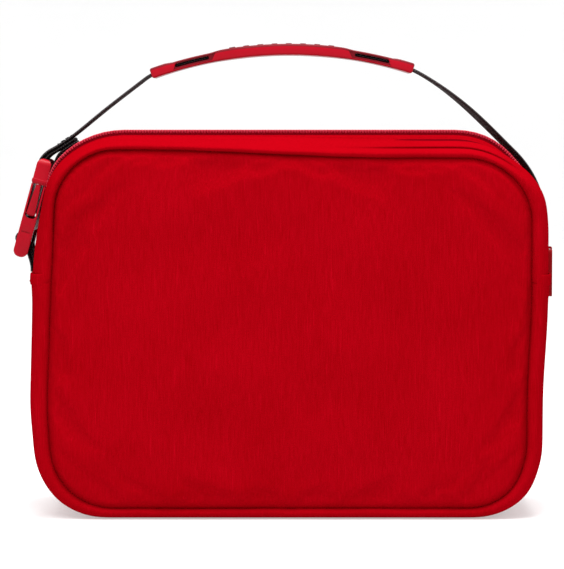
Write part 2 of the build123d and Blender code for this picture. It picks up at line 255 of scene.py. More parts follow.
def slouch(co):
    """How the empty bag settles: a crown along its depth, a dip at the front right, a tuck by the buckle."""
    x, y, z = (np.asarray(co, float) / MM).T
    depth = np.clip(1 - ((y + 4) / 36) ** 2, 0, 1)
    front = smooth(-20, -37, y)
    rise = 1.2 * depth * smooth(140, 187, z)
    taper = 2.0 * smooth(62, 30, z) * smooth(-90, -127, x)
    taper -= 2.2 * smooth(108, 55, z) * smooth(6, 26, z) * smooth(90, 127, x)
    dip = 4.0 * smooth(-75, 50, x) * smooth(110, 180, z) * front
    tilt = 1.7 * np.clip((z - 90) / 40, -1, 1) * smooth(-80, -118, x) * front
    tuck = 3.6 * np.exp(-((z - 153) / 19) ** 2) * smooth(-113, -127, x)
    corner_x, corner_z = x - (HALF - TOP_RADIUS) / MM, z - (TOP - TOP_RADIUS) / MM
    turn = np.degrees(np.arctan2(corner_x, corner_z))
    rim = smooth(38, 43, np.hypot(corner_x, corner_z)) * (corner_x > 0) * (corner_z > 0)
    pressed = 2.3 * np.exp(-((turn - 47) / 20) ** 2) * rim * smooth(-27, -17, y) * smooth(22, 12, y)
    pressed -= 2.0 * smooth(38, 56, turn) * smooth(84, 64, turn) * rim * front
    under_strap = 0.7 * smooth(124, 126.5, x) * smooth(119, 123, z) * smooth(-6, -3, y) * smooth(21, 18, y)
    ripple = np.array([noise.noise(Vector((a / 38, b / 38, c / 30))) for a, b, c in zip(x, y, z)])
    face = np.sign(y) * smooth(33, 38, abs(y))
    move = np.stack([taper + tilt + tuck - under_strap - pressed * np.sin(np.radians(turn)),
                     0.9 * ripple * face, rise - dip - pressed * np.cos(np.radians(turn))], 1)
    move *= smooth(0, 12, z)[:, None]
    out = np.stack([x, y, z], 1) + move
    out[:, 2] = np.maximum(out[:, 2], 0.05)
    return out * MM


def settle_cloth(obj):
    co = np.array([v.co for v in obj.data.vertices])
    obj.data.vertices.foreach_set("co", slouch(co).ravel())
    obj.data.update()
    return obj


class Outline:
    """A rounded outline in the XZ plane, as matching runs of points below and above the hem."""

    def __init__(self, left, right, low, high, low_radius, high_radius):
        self.left, self.right, self.low, self.high = left, right, low, high
        self.low_radius, self.high_radius = low_radius, high_radius

    def run(self, start, end, count, normal):
        return [(Vector(start).lerp(Vector(end), i / count), Vector(normal)) for i in range(count)]

    def arc(self, centre, radius, start, count):
        steps = [radians(start + 90 * i / count) for i in range(count)]
        return [(Vector(centre) + radius * Vector((cos(a), sin(a))), Vector((cos(a), sin(a)))) for a in steps]

    def lower(self, hem=HEM):
        r = self.low_radius
        a, b, c = self.left + r, self.right - r, self.low + r
        points = self.run((self.left, hem), (self.left, c), 14, (-1, 0))
        points += self.arc((a, c), r, 180, 12)
        points += self.run((a, self.low), (b, self.low), 30, (0, -1))
        points += self.arc((b, c), r, 270, 12)
        points += self.run((self.right, c), (self.right, hem), 14, (1, 0))
        return points + [(Vector((self.right, hem)), Vector((1, 0)))]

    def upper(self, hem=HEM):
        r = self.high_radius
        a, b, c = self.left + r, self.right - r, self.high - r
        points = self.run((self.right, hem), (self.right, c), 6, (1, 0))
        points += self.arc((b, c), r, 0, 14)
        points += self.run((b, self.high), (a, self.high), 32, (0, 1))
        points += self.arc((a, c), r, 90, 14)
        points += self.run((self.left, c), (self.left, hem), 6, (-1, 0))
        return points + [(Vector((self.left, hem)), Vector((-1, 0)))]

    def edge_distance(self, x, z):
        """How far inside the outline a point is."""
        r = self.high_radius if z > (self.low + self.high) / 2 else self.low_radius
        dx = max(self.left + r - x, x - self.right + r)
        dz = max(self.low + r - z, z - self.high + r)
        if dx > 0 and dz > 0:
            return r - hypot(dx, dz)
        return r - max(dx, dz)

    def fit(self, x, z):
        """Draw a point of the enclosing rectangle in so that the corners come out round."""
        r = self.high_radius if z > (self.low + self.high) / 2 else self.low_radius
        cx = self.left + r if x < 0 else self.right - r
        cz = self.low + r if z < (self.low + self.high) / 2 else self.high - r
        dx, dz = x - cx, z - cz
        if dx * x <= 0 or dz * (z - (self.low + self.high) / 2) <= 0:
            return x, z
        pull = max(abs(dx), abs(dz)) / hypot(dx, dz)
        return cx + dx * pull, cz + dz * pull


OUTER = Outline(-HALF, HALF, 0, TOP, LOW_RADIUS, TOP_RADIUS)
GROOVE = Outline(-HALF + 9.4 * MM, HALF - 8.8 * MM, 5.4 * MM, TOP - 6.8 * MM, 31 * MM, 33 * MM)

# Cross-sections from the seam of the panel over the rim: share of the way out, and depth in mm.
SIDE_ROLL = [(-0.03, -36.2), (0.0, -36.9), (0.06, -38.5), (0.2, -39.8), (0.42, -40.4), (0.64, -39.6),
             (0.83, -37.3), (0.95, -33.6), (1.0, -29.5), (1.0, -26.0), (1.0, -24.1), (0.96, -23.3)]
TOP_ROLL = [(-0.03, -36.2), (0.0, -36.9), (0.08, -38.7), (0.2, -39.6), (0.33, -39.3), (0.43, -38.0),
            (0.5, -36.0), (0.55, -33.4), (0.59, -30.4), (0.62, -27.0), (0.64, -24.4), (0.5, -23.3)]
SLACK_ROLL = [(-0.03, -36.2), (0.0, -36.9), (0.1, -38.6), (0.25, -39.6), (0.42, -39.1), (0.57, -36.6),
              (0.6, -33.4), (0.72, -35.6), (0.86, -33.6), (0.87, -30.2), (0.72, -26.4), (0.5, -23.3)]
BASE_ROLL = [(-0.03, -36.2), (0.0, -36.9), (0.08, -38.4), (0.24, -39.4), (0.45, -39.7), (0.66, -38.8),
             (0.84, -36.8), (0.95, -34.0), (1.0, -30.5), (1.0, -27.0), (1.0, -25.0), (1.0, -23.3)]

# The zip's facing and tape, from the coil outwards, in mm: distance outside the outline, and distance from the zip.
# EDGE is how far from the zip the facing's folded edge lies.
EDGE = 2.4
SIDE_FACING = [(-0.75, EDGE + 0.5), (-0.1, EDGE + 0.1), (0.1, EDGE + 0.7), (0.05, EDGE + 1.8), (0.0, EDGE + 4),
               (0.0, EDGE + 8), (0.1, 13.8), (-0.4, 15.2)]
TOP_FACING = [(-2.0, EDGE + 0.5), (-1.3, EDGE + 0.1), (-1.0, EDGE + 0.8), (-1.2, EDGE + 1.9), (-1.5, EDGE + 4),
              (-1.9, EDGE + 8), (-2.1, 13.8), (-2.9, 15.2)]
SLACK_FACING = [(-2.0, EDGE + 0.5), (-1.3, EDGE + 0.1), (-0.9, EDGE + 0.8), (-1.6, EDGE + 1.8), (-3.3, EDGE + 2.6),
                (-3.8, EDGE + 7), (-3.2, 13.8), (-3.9, 15.2)]
SIDE_TAPE = [(-0.3, 0.3), (-0.35, 1.6), (-0.5, EDGE + 0.4), (-1.0, 9.0), (-1.2, 12.0)]
TOP_TAPE = [(0.6, 0.3), (0.4, 1.7), (-1.4, EDGE + 0.3), (-3.0, EDGE + 1.6), (-3.9, 12.0)]


def blend_sections(place, normal, side_part, top_part, slack_part=None, base_part=None):
    """The two numbers of a cross-section's station, for where it is on the outline and how it faces there."""
    top = float(smooth(0.3, 0.95, normal.y))
    low = float(smooth(0.35, 0.95, -normal.y)) if base_part else 0.0
    slack = top * float(smooth(-30 * MM, 70 * MM, place.x)) if slack_part else 0.0
    parts = [(side_part, 1 - top - low), (top_part, top - slack), (slack_part, slack), (base_part, low)]
    return [sum(part[k] * share for part, share in parts if part) for k in (0, 1)]


def gusset_rows(inner, outer, stations, mirror=False):
    """Rows of points that run along the bag's outline, one row for each station of the roll."""
    rows = []
    for index in stations:
        row = []
        for (p, _), (q, normal) in zip(inner, outer):
            share, depth = blend_sections(q, normal, SIDE_ROLL[index], TOP_ROLL[index],
                                          None if mirror else SLACK_ROLL[index], BASE_ROLL[index])
            at = p.lerp(q, share)
            row.append((at.x, (-depth if mirror else depth) * MM, at.y))
        rows.append(row)
    return rows[::-1] if mirror else rows


def band_rows(path, section):
    """Rows of points at the given distances outside an outline and depths, both in mm."""
    return np.array([[(p.x + n.x * out * MM, depth * MM, p.y + n.y * out * MM) for p, n in path]
                     for out, depth in section])


def zip_rows(path, side, side_section, top_section, slack_section):
    """Rows of points beside the zip, with the section changing on the way round."""
    rows = []
    for parts in zip(side_section, top_section, slack_section):
        row = []
        for p, n in path:
            out, away = blend_sections(p, n, *parts)
            row.append((p.x + n.x * out * MM, ZIP_Y + side * away * MM, p.y + n.y * out * MM))
        rows.append(row)
    return np.array(rows)


def seam_pucker(obj, width=7.0, depth=0.22, pitch=6.5):
    """Small gathers square to the panel seams, where the thread draws the padding in."""
    mesh = obj.data
    for v in mesh.vertices:
        near = GROOVE.edge_distance(v.co.x, v.co.z) / MM
        along = (v.co.x + v.co.z) / MM
        fade = max(0.0, 1 - abs(near) / width) if abs(v.co.y) > 30 * MM else 0.0
        wave = sin(2 * pi * along / pitch + 2.2 * noise.noise(v.co * 60))
        v.co.y += np.sign(v.co.y) * depth * MM * fade * wave
    mesh.update()
    return obj


def press_cloth(obj, inside, pressure, cap):
    """Fill a pinned panel with air for a moment, so that it swells as padding does, within a cap."""
    mesh = obj.data
    before = np.array([v.co for v in mesh.vertices])
    group = obj.vertex_groups.new(name="sewn")
    group.add([i for i, v in enumerate(mesh.vertices) if not inside(v.co)], 1.0, "REPLACE")
    cloth = obj.modifiers.new("padding", "CLOTH")
    settings = cloth.settings
    settings.quality = 6
    settings.mass = 0.25
    settings.tension_stiffness = settings.compression_stiffness = 18
    settings.bending_stiffness = 1.2
    settings.use_pressure = True
    settings.uniform_pressure_force = pressure
    settings.shrink_min = -0.012
    settings.vertex_group_mass = group.name
    settings.effector_weights.gravity = 0
    scene = bpy.context.scene
    for step in range(1, 21):
        scene.frame_set(step)
    shaped = obj.evaluated_get(bpy.context.evaluated_depsgraph_get())
    after = np.array([v.co for v in shaped.data.vertices])
    move = after - before
    size = np.linalg.norm(move, axis=1, keepdims=True)
    move *= np.minimum(1, cap / np.maximum(size, 1e-9))
    obj.modifiers.remove(cloth)
    obj.vertex_groups.remove(group)
    scene.frame_set(1)
    mesh.vertices.foreach_set("co", (before + move).ravel())
    mesh.update()
    return obj


def finer_at_ends(count):
    """Shares from 0 to 1 that lie closer together near both ends."""
    even = [i / (count - 1) for i in range(count)]
    return [0.55 * t + 0.45 * (0.5 - 0.5 * cos(pi * t)) for t in even]


def panel(name, side, crown):
    """One big padded panel, sewn in all round: side -1 is the front, +1 the back. Depths are in mm."""
    columns, rows = 113, 85
    seam_depth, face_depth, lip_width = 36.6, 39.3, 5.0
    tucked = 0.6 * MM
    edge = Outline(GROOVE.left - tucked, GROOVE.right + tucked, GROOVE.low - tucked, GROOVE.high + tucked,
                   GROOVE.low_radius + tucked, GROOVE.high_radius + tucked)
    points = np.zeros((rows, columns, 3))
    for j, v in enumerate(finer_at_ends(rows)):
        for i, u in enumerate(finer_at_ends(columns)):
            x, z = edge.fit(edge.left + (edge.right - edge.left) * u, edge.low + (edge.high - edge.low) * v)
            inset = GROOVE.edge_distance(x, z) / MM
            lip = 1 - (1 - min(max(inset, 0) / lip_width, 1)) ** 2.3
            depth = seam_depth + (face_depth - seam_depth) * lip + crown * float(smooth(0, 70, inset)) + min(inset, 0)
            points[j, i] = (x, side * depth * MM, z)
    obj = grid_piece(name, points)
    press_cloth(obj, lambda co: GROOVE.edge_distance(co.x, co.z) > 3 * MM, 2.2, 1.3 * MM)
    return obj


def mount(piece, body, slot, *nodes):
    """Put a finished rigid piece on its body and hide the nodes it stands for; the slot argument is not used."""
    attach(piece, body)
    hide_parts(*nodes)
    return piece


def sew(piece, nodes=(), on_lid=False):
    """Join a finished piece to the bag, or, on the lid, bake its placement into its mesh."""
    if on_lid:
        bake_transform(piece)
    else:
        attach(piece, "bag")
    if nodes:
        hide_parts(*nodes)
    return piece


def sew_padded(piece, nodes, on_lid=False):
    """Pucker, settle and sew in one padded piece of the nylon shell."""
    seam_pucker(piece)
    settle_cloth(piece)
    thicken(piece, SKIN)
    return sew(piece, nodes, on_lid)


def make_panels():
    front = panel("front_panel", -1, 1.0)
    back = panel("back_panel", 1, 0.3)
    halves = [f"front_{layer}_{part}" for layer in ("cover", "foam") for part in ("lower", "upper")]
    return sew_padded(front, halves, on_lid=True), sew_padded(back, ["back_cover", "back_foam"])


def make_gusset():
    """The band round the bag: one run below the hems, and one each side of the zip above them."""
    stations = range(len(SIDE_ROLL))
    under, over = OUTER.lower(HEM + 0.6 * MM), OUTER.upper(HEM - 4 * MM)
    inner_under, inner_over = GROOVE.lower(HEM + 0.6 * MM), GROOVE.upper(HEM - 4 * MM)
    middle = band_rows(under, [(0, y) for y in (-15, -7, 0, 7, 15)]).tolist()
    rows = gusset_rows(inner_under, under, stations) + middle
    rows += gusset_rows(inner_under, under, stations, mirror=True)
    lower = grid_piece("lower_gusset", np.array(rows))
    co = np.array([v.co for v in lower.data.vertices])
    flare = smooth(HEM - 14 * MM, HEM, co[:, 2]) * smooth(0.9 * HALF, 0.97 * HALF, abs(co[:, 0]))
    co[:, 0] += np.sign(co[:, 0]) * 0.9 * MM * flare
    lower.data.vertices.foreach_set("co", co.ravel())
    lid = grid_piece("lid_gusset", np.array(gusset_rows(inner_over, over, stations)))
    away = [15.4, 18.5, 23.0, 28.0, 33.0, 38.0]
    sides = [(-0.9, 14.2)] + [(-0.1, a) for a in away]
    tops = [(-4.0, 14.2)] + [(-2.12 - 0.02 * a, a) for a in away]
    beside_zip = zip_rows(over, 1, sides, tops, tops).tolist()
    rear = grid_piece("rear_gusset", np.array(beside_zip + gusset_rows(inner_over, over, stations, True)))
    return [sew_padded(piece, [f"{piece.name}_cover", f"{piece.name}_foam"], on_lid=piece is lid)
            for piece in (lower, lid, rear)]


def make_hems():
    """The folded, stitched band over each end of the zipped gusset."""
    pieces = []
    for name, side in (("right", 1), ("left", -1)):
        heights = [HEM - 5.2 * MM, HEM - 4.4 * MM, HEM - 2 * MM, HEM + 0.2 * MM, HEM + 0.9 * MM]
        swell = [0.9, 1.25, 1.35, 1.35, 1.0]
        if side < 0:
            heights, swell = heights[::-1], swell[::-1]
        rows = []
        groove_x = GROOVE.right if side > 0 else GROOVE.left
        across = SIDE_ROLL[2:] + [(1, y) for y in (-12, 0, 12)] + [(a, -b) for a, b in SIDE_ROLL[:1:-1]]
        for share, depth in across:
            x = groove_x + (side * HALF - groove_x) * share
            out = 0.25 + 0.75 * share
            rows.append([(x + side * s * out * MM, depth * MM, z) for z, s in zip(heights, swell)])
        piece = thicken(settle_cloth(grid_piece(f"{name}_hem", np.array(rows))), 0.9 * MM)
        pieces.append(sew(piece, [f"{name}_hem_strip"]))
    return pieces


# ---------------------------------------------------------------- zip

def make_facings():
    """The folded strips of nylon beside the coil, with the tape showing under their edges."""
    path = OUTER.upper(HEM - 2 * MM)
    pieces = []
    for name, side in (("front", -1), ("rear", 1)):
        slack = SLACK_FACING if side < 0 else TOP_FACING
        facing = grid_piece(f"{name}_facing", zip_rows(path, side, SIDE_FACING, TOP_FACING, slack))
        tape = grid_piece(f"{name}_tape", zip_rows(path, side, SIDE_TAPE, TOP_TAPE, TOP_TAPE))
        for piece, wall, slot, node in ((facing, SKIN, "red_nylon", "facing"), (tape, 0.45 * MM, "zip_tape", "tape")):
            thicken(settle_cloth(piece), wall)
            pieces.append(sew(piece, [f"{name}_zip_{node}"], on_lid=side < 0))
    return pieces


def even_steps(path, step):
    """Points and normals spaced evenly along an outline."""
    points = np.array([p for p, _ in path])
    normals = np.array([n for _, n in path])
    reach = np.concatenate([[0], np.cumsum(np.linalg.norm(np.diff(points, axis=0), axis=1))])
    at = np.arange(0, reach[-1], step)
    out = [np.interp(at, reach, column) for column in (*points.T, *normals.T)]
    return zip(*out)


def copies(name, shape, frames):
    """One mesh of many copies of a shape, each on its own frame of origin and three axes."""
    verts, faces = shape
    points, quads = [], []
    for origin, axes in frames:
        first = len(points) * len(verts)
        points.append(np.array(origin) + verts @ np.array(axes))
        quads += [tuple(i + first for i in face) for face in faces]
    obj = from_points(name, np.concatenate(points).tolist(), quads)
    obj.data.shade_smooth()
    return obj


def make_coils():
    """Both rows of coil turns, low beads wider across the zip than along it, and the stops at their ends."""
    shape = rounded_bead((0.38 * MM, 1.2 * MM, 0.8 * MM), 0.26 * MM, 2)
    pieces = []
    for name, side in (("front", -1), ("rear", 1)):
        start = SLIDER_LOW.z + 4 * MM
        path = OUTER.upper(start)
        path[-1] = (Vector((-HALF, HEM + 2.6 * MM)), path[-1][1])
        frames = []
        for k, (x, z, nx, nz) in enumerate(even_steps(path, COIL_PITCH / 2)):
            if k % 2 == (side > 0):
                continue
            out = 0.8 * MM * smooth(0.3, 0.95, nz)
            origin = (x + nx * out, ZIP_Y + side * 0.95 * MM, z + nz * out)
            frames.append((origin, [(-nz, 0, nx), (0, 1, 0), (nx, 0, nz)]))
        stop_frames = [((end * (HALF - 0.1 * MM), ZIP_Y + side * 1.1 * MM, HEM + lift * MM),
                        [(0, 0, 1), (0, 1, 0), (end, 0, 0)]) for end in (-1, 1) for lift in (0.7, 1.6)]
        for part, places in (("coil", frames), ("stops", stop_frames)):
            piece = settle_cloth(copies(f"{name}_{part}", shape, places))
            pieces.append(sew(piece, [f"{name}_zip_{part}"], on_lid=side < 0))
    return pieces


def make_slider():
    """Slider with flared cheeks and a lug, and a tapered pull that hangs from it."""
    mid_z = (SLIDER_LOW.z + SLIDER_HIGH.z) / 2
    plate_x = HALF + 1.7 * MM
    slider = block("slider", (plate_x - 0.8 * MM, ZIP_Y - 4 * MM, SLIDER_LOW.z),
                   (plate_x, ZIP_Y + 4 * MM, SLIDER_HIGH.z))
    choose(slider, verts=lambda co: co.z < mid_z)
    with editing(slider):
        bpy.ops.transform.resize(value=(1, 0.62, 1), center_override=(plate_x, ZIP_Y, SLIDER_LOW.z))
    for side in (-1, 1):
        wall_y = ZIP_Y + side * 3.6 * MM
        slider = fuse(slider, block("cheek", (plate_x - 2.4 * MM, wall_y - 0.4 * MM, mid_z),
                                    (plate_x - 0.4 * MM, wall_y + 0.4 * MM, SLIDER_HIGH.z)))
    slider = fuse(slider, block("under", (SLIDER_LOW.x, ZIP_Y - 3.6 * MM, SLIDER_LOW.z),
                                (SLIDER_LOW.x + 0.8 * MM, ZIP_Y + 3.6 * MM, SLIDER_HIGH.z)))
    slider = fuse(slider, block("post", (SLIDER_LOW.x + 0.2 * MM, ZIP_Y - 0.7 * MM, SLIDER_LOW.z),
                                (plate_x - 0.2 * MM, ZIP_Y + 0.7 * MM, SLIDER_LOW.z + 3 * MM)))
    pin = Vector((plate_x + 0.9 * MM, ZIP_Y, SLIDER_HIGH.z - 2.2 * MM))
    lug = block("lug", (plate_x - 0.2 * MM, ZIP_Y - 0.8 * MM, pin.z - 1.9 * MM),
                (pin.x + 1.2 * MM, ZIP_Y + 0.8 * MM, pin.z + 1.9 * MM))
    bevel_edges(lug, lambda a, b: abs(a.y - b.y) > MM and a.x > pin.x, 0.9 * MM)
    slider = cut(fuse(slider, lug), rod("hole", pin, 0.75 * MM, 4 * MM))
    soften(slider, 0.2 * MM, 2)

    half_x, half_y = 0.5 * MM, 3 * MM
    pull = block("pull", (pin.x - half_x, ZIP_Y - half_y, PULL_LOW.z),
                 (pin.x + half_x, ZIP_Y + half_y, pin.z + 0.45 * MM))
    choose(pull, verts=lambda co: co.z > pin.z)
    with editing(pull):
        bpy.ops.transform.resize(value=(1, 0.86, 1), center_override=tuple(pin))
    bevel_edges(pull, lambda a, b: abs(a.x - b.x) > 0.5 * MM, 1.6 * MM)
    pull = cut(pull, block("gap", (pin.x - 2 * MM, ZIP_Y - 1.1 * MM, pin.z - 4.6 * MM),
                           (pin.x + 2 * MM, ZIP_Y + 1.1 * MM, pin.z - 0.45 * MM)))
    pull = cut(pull, block("window", (pin.x - 2 * MM, ZIP_Y - 1.5 * MM, PULL_LOW.z + 2.4 * MM),
                           (pin.x + 2 * MM, ZIP_Y + 1.5 * MM, PULL_LOW.z + 11 * MM)))
    soften(pull, 0.22 * MM, 2)
    return [mount(piece, node, "lacquered_metal", node)
            for piece, node in ((slider, "zip_slider"), (pull, "zip_pull"))]


# ---------------------------------------------------------------- inside

def make_lining():
    """Silver lining of every wall, and the tape that binds the seams inside."""
    lining = Outline(-HALF + WALL, HALF - WALL, WALL, TOP - WALL, LOW_RADIUS - WALL, TOP_RADIUS - WALL)
    face = Outline(lining.left + MM, lining.right - MM, lining.low + MM, lining.high - MM,
                   LOW_RADIUS - WALL, TOP_RADIUS - WALL)
    pieces = []
    columns, rows = 41, 31
    for name, side, nodes in (("front", -1, ["front_liner_lower", "front_liner_upper"]), ("back", 1, ["back_liner"])):
        points = np.zeros((rows, columns, 3))
        for j in range(rows):
            for i in range(columns):
                x, z = face.fit(face.left + (face.right - face.left) * i / (columns - 1),
                                face.low + (face.high - face.low) * j / (rows - 1))
                quilt = 0.15 * sin(x / (9 * MM)) * sin(z / (9 * MM))
                points[j, i] = (x, side * (34.1 + quilt) * MM, z)
        pieces.append((grid_piece(f"{name}_lining", points), side < 0, nodes))
    near_seam = [(-1.5, -34.4), (-0.2, -33.4)]
    far_seam = [(-0.2, 33.4), (-1.5, 34.4)]
    for name, path, section in (
            ("lower", lining.lower(), near_seam + [(0, -28), (0, -10), (0, 10), (0, 28)] + far_seam),
            ("lid", lining.upper(), near_seam + [(0, -30), (-0.2, -26), (-0.8, -24.4), (-1.0, -23.0)]),
            ("rear", lining.upper(), [(0.6, 5.0), (0.3, 6.2), (0, 8.0), (0, 20), (0, 28)] + far_seam)):
        pieces.append((grid_piece(f"{name}_lining", band_rows(path, section)), name == "lid",
                       [f"{name}_gusset_liner"]))
    path = lining.lower()[:-1] + lining.upper()
    tape = [(-0.5, 34.2), (-3.6, 33.7), (-4.2, 33.1), (-3.6, 32.5), (-0.5, 32.0)]
    for name, side, parts in (("front", -1, ("_lower", "_upper")), ("rear", 1, ("",))):
        piece = grid_piece(f"{name}_binding", band_rows(path, [(out, side * y) for out, y in tape]))
        pieces.append((piece, side < 0, [f"{name}_seam_binding{part}" for part in parts]))
    for piece, on_lid, nodes in pieces:
        thicken(settle_cloth(piece), 0.4 * MM)
        sew(piece, nodes, on_lid)
    return [piece for piece, _, _ in pieces]


# ---------------------------------------------------------------- thread

def stitch_shape():
    """One stitch of thread: a short rounded bar lying along X."""
    return rounded_bead((0.95 * MM, 0.2 * MM, 0.14 * MM), 0.12 * MM, 1)


def make_topstitching():
    """Rows of red thread beside the coil and along the hems, coloured lighter and pinker than the nylon: partly the
    thread's own colour, partly a painted highlight along the zip facing.
    """
    shape = stitch_shape()
    above = 0.12 * MM
    pieces = []
    for name, side in (("front", -1), ("rear", 1)):
        frames = []
        for x, z, nx, nz in even_steps(OUTER.upper(HEM + 2 * MM), 2.7 * MM):
            origin = (x + nx * above, ZIP_Y + side * 6.4 * MM, z + nz * above)
            frames.append((origin, [(-nz, 0, nx), (0, 1, 0), (nx, 0, nz)]))
        row = settle_cloth(copies(f"{name}_topstitching", shape, frames))
        pieces.append(sew(row, on_lid=side < 0))
    frames = [((side * (HALF + 1.35 * MM), (-31 + k * 2.9) * MM, HEM - 3.2 * MM), [(0, 1, 0), (0, 0, 1), (side, 0, 0)])
              for side in (-1, 1) for k in range(22)]
    hem_row = settle_cloth(copies("hem_topstitching", shape, frames))
    return pieces + [sew(hem_row)]


# ---------------------------------------------------------------- webbing

def eased(points, rounds=3):
    """Cut the corners of a route, again and again, until it is smooth."""
    for _ in range(rounds):
        cut_points = [points[0]]
        for (x0, z0), (x1, z1) in zip(points, points[1:]):
            cut_points += [(0.75 * x0 + 0.25 * x1, 0.75 * z0 + 0.25 * z1),
                           (0.25 * x0 + 0.75 * x1, 0.25 * z0 + 0.75 * z1)]
        points = cut_points + [points[-1]]
    return points


def webbing(name, route, twist=lambda x, z: 0.0, drift=lambda x, z: 0.0, half=STRAP_HALF, wall=WEBBING):
    """Flat woven webbing along a route in the XZ plane, given in mm, with rounded selvedges.

    Twist turns it about its own length, in degrees, and drift carries it towards the front, in mm.
    """
    path = np.array(eased(route)) * MM
    across = np.linspace(-1, 1, 13)
    lift = (1 - np.abs(across) ** 10) ** 0.5 * 0.8 + 0.2 * (1 - np.abs(across) ** 2)
    section = [(t * half, h * wall / 2) for t, h in zip(across, lift)]
    section += [(t * half, -h * wall / 2) for t, h in reversed(list(zip(across[1:-1], lift[1:-1])))]
    reach = np.concatenate([[0], np.cumsum(np.linalg.norm(np.diff(path, axis=0), axis=1))])
    rings = []
    for index, (x, z) in enumerate(path):
        before, after = path[max(index - 1, 0)], path[min(index + 1, len(path) - 1)]
        dx, dz = (after - before) / np.linalg.norm(after - before)
        turn = radians(twist(x / MM, z / MM))
        middle = STRAP_Y - drift(x / MM, z / MM) * MM
        ring = []
        for y, h in section:
            side, up = y * cos(turn) - h * sin(turn), y * sin(turn) + h * cos(turn)
            ring.append((x - dz * up, middle + side, z + dx * up))
        rings.append(ring)
    count = len(section)
    faces = []
    for i in range(len(rings) - 1):
        for k in range(count):
            a, b = i * count + k, i * count + (k + 1) % count
            faces.append((a, b, b + count, a + count))
    faces.append(tuple(range(count))[::-1])
    faces.append(tuple((len(rings) - 1) * count + k for k in range(count)))
    obj = from_points(name, [p for ring in rings for p in ring], faces)
    mesh = obj.data
    uv = mesh.uv_layers.new(name="weave")
    for polygon in mesh.polygons:
        for loop in polygon.loop_indices:
            index = mesh.loops[loop].vertex_index
            uv.data[loop].uv = (section[index % count][0] / MM, reach[index // count] / MM)
    with editing(obj, everything=True):
        bpy.ops.mesh.normals_make_consistent(inside=False)
    only(obj)
    bpy.ops.object.shade_smooth_by_angle(angle=radians(50))
    return obj


def grip_arc(angle, lift=0.0):
    radius = (GRIP_RADIUS + lift) / MM
    return radius * sin(radians(angle)), GRIP_CENTRE_Z / MM + radius * cos(radians(angle))


def corner(angle, lift, side=1):
    """A point above the top corner of the bag, in mm, at an angle from straight up."""
    radius = TOP_RADIUS / MM + lift
    return (side * ((HALF - TOP_RADIUS) / MM + radius * sin(radians(angle))),
            (TOP - TOP_RADIUS) / MM + radius * cos(radians(angle)))


def buckle_point(x, z):
    """A point of the upright buckle's plane, in mm, carried to where the buckle leans."""
    top = BUCKLE_TOP / MM
    return top.x + x * cos(LEAN) + z * sin(LEAN), top.z - x * sin(LEAN) + z * cos(LEAN)


FOLD = (-108.4, 187.4)
SPLIT = (-116.4, 182.2)


def layered(point, layers):
    """A point of the stitched fold, moved out by a number of thicknesses of webbing."""
    run = hypot(FOLD[0] - SPLIT[0], FOLD[1] - SPLIT[1])
    nx, nz = -(FOLD[1] - SPLIT[1]) / run, (FOLD[0] - SPLIT[0]) / run
    return point[0] + nx * layers * 1.65, point[1] + nz * layers * 1.65


